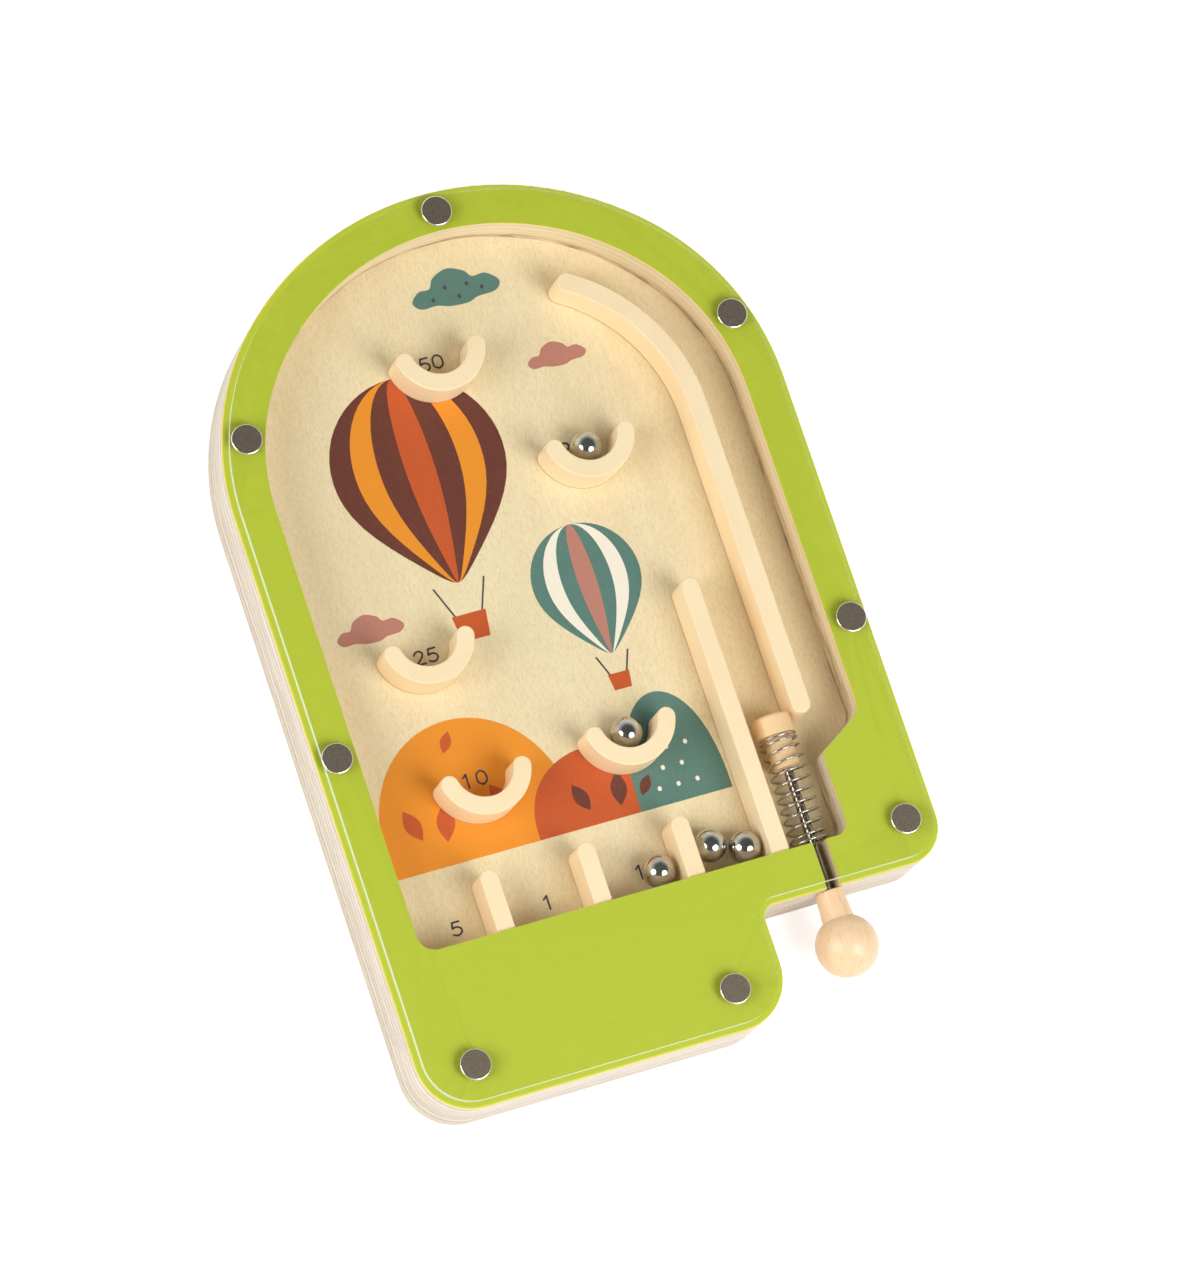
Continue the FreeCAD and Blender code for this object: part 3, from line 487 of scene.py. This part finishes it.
# Plunger. A turned head and a ball knob of pale hardwood are pressed on a drawn steel
# rod, which slides in the frame's groove. The wound spring pushes on the head.
turned_wood = sanded_wood("turned_knob_wood", (246, 213, 170), (222, 172, 122),
                          (1.1, 0.09, 1.1), roughness=0.42, grain=0.6,
                          Coat_Weight=0.3, Coat_Roughness=0.18)
head_wood = sanded_wood("turned_head_wood", (250, 213, 163), (234, 186, 130),
                        (1.2, 0.1, 1.2), roughness=0.42, grain=0.5)


def steel(name, rgb, roughness, stretch, depth):
    """Bare steel with faint marks of so many millimetres' depth from drawing or grinding."""
    finish = Finish(name, roughness, Metallic=1.0)
    drawn = finish.noise(stretch, detail=3)
    darker = tuple(int(c * 0.82) for c in rgb)
    finish.set("Base Color", finish.blend(finish.step(drawn, 0.3, 0.8), rgb, darker))
    finish.relief(drawn, depth)
    return finish.material


rod_steel = steel("drawn_rod_steel", (186, 176, 164), 0.12, (2.5, 0.06, 2.5), 0.002)
cad_nodes["plunger_knob"].data.materials[0] = turned_wood
cad_nodes["plunger_head"].data.materials[0] = head_wood
cad_nodes["plunger_rod"].data.materials[0] = rod_steel

# Spring. One steel wire of twelve turns between the trough's wall and the head's
# shoulder. Its end turns are closed, and it leans a little to the left at the wall.
WIRE_SIDES = 14
STEPS_PER_TURN = 48
WIRE = 0.6 * MM
COIL_RADIUS = 4.8 * MM
CLOSED_PITCH = 1.05 * MM
OPEN_TURNS = 8
ALL_TURNS = OPEN_TURNS + 4
LEAN = 0.8 * MM
SPIGOT_LENGTH = 8.6 * MM
spring_low, spring_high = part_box("plunger_spring")
rod_low, rod_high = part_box("plunger_rod")
axis_x, axis_z = (rod_low.x + rod_high.x) / 2, (rod_low.z + rod_high.z) / 2
spring_length = spring_high.y - spring_low.y - WIRE
open_pitch = (spring_length - 3 * CLOSED_PITCH) / (OPEN_TURNS + 1)


def climb(turn):
    """Distance up the spring: a closed turn, one that opens, the open ones, and back."""
    if turn > ALL_TURNS / 2:
        return spring_length - climb(ALL_TURNS - turn)
    if turn < 1:
        return CLOSED_PITCH * turn
    if turn < 2:
        return CLOSED_PITCH * turn + (open_pitch - CLOSED_PITCH) * (turn - 1) ** 2 / 2
    return (3 * CLOSED_PITCH + open_pitch) / 2 + open_pitch * (turn - 2)


def coil_point(turn):
    """Middle of the wire after so many turns from the wall's end, which leans to the left."""
    angle, along = 2 * math.pi * turn, climb(turn)
    aside = LEAN * max(1 - along / (spring_length - SPIGOT_LENGTH), 0)
    return Vector((axis_x - aside + COIL_RADIUS * math.cos(angle), spring_low.y + WIRE / 2 + along,
                   axis_z - COIL_RADIUS * math.sin(angle)))


ring_count = ALL_TURNS * STEPS_PER_TURN + 1
ring_angles = [2 * math.pi * k / WIRE_SIDES for k in range(WIRE_SIDES)]
points = []
for step in range(ring_count):
    turn = step / STEPS_PER_TURN
    centre = coil_point(turn)
    angle = 2 * math.pi * turn
    outward = Vector((math.cos(angle), 0, -math.sin(angle)))
    heading = (coil_point(turn + 0.01) - coil_point(turn - 0.01)).normalized()
    across = heading.cross(outward).normalized()
    points += [centre + (outward * math.cos(a) + across * math.sin(a)) * WIRE / 2
               for a in ring_angles]
faces = []
for start in range(0, (ring_count - 1) * WIRE_SIDES, WIRE_SIDES):
    for k in range(WIRE_SIDES):
        a, b = start + k, start + (k + 1) % WIRE_SIDES
        faces.append([a, b, b + WIRE_SIDES, a + WIRE_SIDES])
faces.append(list(range(WIRE_SIDES - 1, -1, -1)))
faces.append(list(range((ring_count - 1) * WIRE_SIDES, ring_count * WIRE_SIDES)))
coil_mesh = bpy.data.meshes.new("wound_spring")
coil_mesh.from_pydata(points, [], faces)
coil_mesh.polygons.foreach_set("use_smooth", [True] * len(faces))
coil_mesh.update()
spring = bpy.data.objects.new("wound_spring", coil_mesh)
bpy.context.collection.objects.link(spring)
coil_mesh.materials.append(steel("spring_wire", (204, 198, 190), 0.16, (1.0, 1.0, 1.0), 0.002))
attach(spring, "case")
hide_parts("plunger_spring")
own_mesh(spring)

# Balls. Five hardened steel balls, ground and polished to a mirror.
ball_steel = steel("polished_ball_steel", (214, 210, 204), 0.04, (0.3, 0.3, 0.3), 0.0005)
for name, node in cad_nodes.items():
    if name.startswith("ball_"):
        node.data.materials[0] = ball_steel

# Cover. Clear acrylic sheet with polished faces and a frosted, slightly lighter cut
# edge. It lies loose on the frame, and the nails' heads hold it. Its faces are written
# as less reflecting than real acrylic, so that the inside shows from every side.
ACRYLIC_IOR = 1.49
POLISH = 0.015
UNREFLECTING = 0.85
clear = Finish("clear_acrylic", POLISH, IOR=ACRYLIC_IOR)


def mix_shaders(share, first, second):
    """First shader where the share is 0, and second where it is 1."""
    mix = clear.add("MixShader")
    for socket, value in zip(mix.inputs, (share, first.outputs[0], second.outputs[0])):
        clear.plug(socket, value)
    return mix


rays = clear.add("LightPath").outputs
polished = facing(clear)
cut_edge = clear.math("SUBTRACT", 1.0, polished)
direct = clear.math("ADD", clear.times(rays["Is Camera Ray"], 0.65), 0.25)
frost = clear.times(cut_edge, direct)
clear.set("Roughness", clear.math("ADD", clear.times(cut_edge, 0.4), POLISH))
clear.set("Transmission Weight", clear.math("SUBTRACT", 1.0, frost))
clear.set("Base Color", clear.blend(cut_edge, (252, 254, 252), (236, 240, 228)))
refracted = clear.add("BsdfRefraction")
for name, value in (("Color", colour((250, 251, 250))), ("Roughness", POLISH),
                    ("IOR", ACRYLIC_IOR), ("Normal", clear.normal)):
    clear.plug(refracted.inputs[name], value)
seen_sheet = mix_shaders(clear.times(polished, UNREFLECTING), clear.shader, refracted)

# Light for the board passes straight through the sheet.
lets_through = clear.math("MAXIMUM", rays["Is Shadow Ray"], rays["Is Diffuse Ray"])
sheet = mix_shaders(lets_through, seen_sheet, clear.add("BsdfTransparent"))
clear.plug(clear.tree.nodes["Material Output"].inputs["Surface"], sheet.outputs[0])
cad_nodes["cover_sheet"].data.materials[0] = clear.material

# Nails. Flat-headed steel nails with a dull face and a smoother rolled rim, driven
# through the cover and the frame into the base. The rim is painted lighter as a painted highlight.
FACE_ROUGHNESS = 0.28
RIM_ROUGHNESS = 0.14
nail = Finish("dull_nail_steel", FACE_ROUGHNESS, Metallic=1.0)
rounding = nail.add("NewGeometry").outputs["Normal"]
rim_and_highlight = nail.step(nail.axis(rounding, "Z"), 0.985, 0.9)
smoother = nail.times(rim_and_highlight, FACE_ROUGHNESS - RIM_ROUGHNESS)
nail.set("Roughness", nail.math("SUBTRACT", FACE_ROUGHNESS, smoother))
specks = nail.step(nail.noise((3.4, 3.4, 3.4), detail=4, roughness=0.7), 0.35, 0.7)
dull_face = nail.blend(specks, (228, 213, 188), (188, 172, 148))
# The rim's lighter colour is a painted highlight, on top of its real smoother polish.
nail.set("Base Color", nail.blend(rim_and_highlight, dull_face, (240, 234, 224)))
cad_nodes["cover_nails"].data.materials[0] = nail.material

# Floor, light and camera. A white table under two soft boxes, one at the board's left
# and a stronger one beyond its lower right corner, seen from above at a slant.
REACH = 6.0
floor_mesh = bpy.data.meshes.new("table_top")
corners = [(-REACH, -REACH, 0), (REACH, -REACH, 0), (REACH, REACH, 0), (-REACH, REACH, 0)]
floor_mesh.from_pydata(corners, [], [[0, 1, 2, 3]])
floor = bpy.data.objects.new("table_top", floor_mesh)
floor.location.z = -0.2 * MM
bpy.context.collection.objects.link(floor)
white = Finish("white_table", 0.9)
rays = white.add("LightPath").outputs
mirrored = white.math("MAXIMUM", rays["Is Glossy Ray"], rays["Is Transmission Ray"])
seen = white.math("MAXIMUM", rays["Is Camera Ray"], mirrored)
white.set("Base Color", colour((225, 225, 225)))
white.set("Emission Color", colour((255, 255, 255)))
white.set("Emission Strength", white.times(seen, 0.6))
floor_mesh.materials.append(white.material)

# The studio's walls give a soft light that fades upwards, and look white.
world = bpy.data.worlds.new("studio")
bpy.context.scene.world = world
world.use_nodes = True
sky = world.node_tree
background = sky.nodes["Background"]
paths = sky.nodes.new("ShaderNodeLightPath")
place = sky.nodes.new("ShaderNodeTexCoord")
split = sky.nodes.new("ShaderNodeSeparateXYZ")
fade = sky.nodes.new("ShaderNodeMapRange")
seen = sky.nodes.new("ShaderNodeMath")
seen.operation = "MAXIMUM"
sky.links.new(place.outputs["Generated"], split.inputs[0])
sky.links.new(split.outputs["Z"], fade.inputs["Value"])
for name, number in (("From Min", 0.25), ("From Max", 0.75), ("To Min", 1.04), ("To Max", 0.13)):
    fade.inputs[name].default_value = number
sky.links.new(fade.outputs[0], seen.inputs[0])
sky.links.new(paths.outputs["Is Camera Ray"], seen.inputs[1])
sky.links.new(seen.outputs[0], background.inputs["Strength"])
background.inputs["Color"].default_value = (1, 1, 1, 1)


def soft_box(name, towards, distance, width, power):
    """Round area lamp that looks at the board from a direction."""
    data = bpy.data.lights.new(name, "AREA")
    data.shape = "DISK"
    data.size = width
    data.energy = power
    lamp = bpy.data.objects.new(name, data)
    lamp.location = Vector(towards).normalized() * distance
    lamp.rotation_euler = (-lamp.location).to_track_quat("-Z", "Y").to_euler()
    bpy.context.collection.objects.link(lamp)


soft_box("soft_box_left", (-0.810, -0.036, 0.590), 1.3, 0.85, 7.9)
soft_box("soft_box_front", (0.300, -0.550, 0.780), 1.3, 0.85, 10.7)

camera_data = bpy.data.cameras.new("photo_camera")
camera_data.sensor_width = 36
camera_data.lens = 195.6
camera = bpy.data.objects.new("photo_camera", camera_data)
camera.location = (-0.50613, -0.33660, 1.64566)
camera.rotation_euler = [math.radians(a) for a in (15.940, -13.102, -18.863)]
bpy.context.collection.objects.link(camera)
bpy.context.scene.camera = camera
bpy.context.scene.view_settings.view_transform = "Standard"
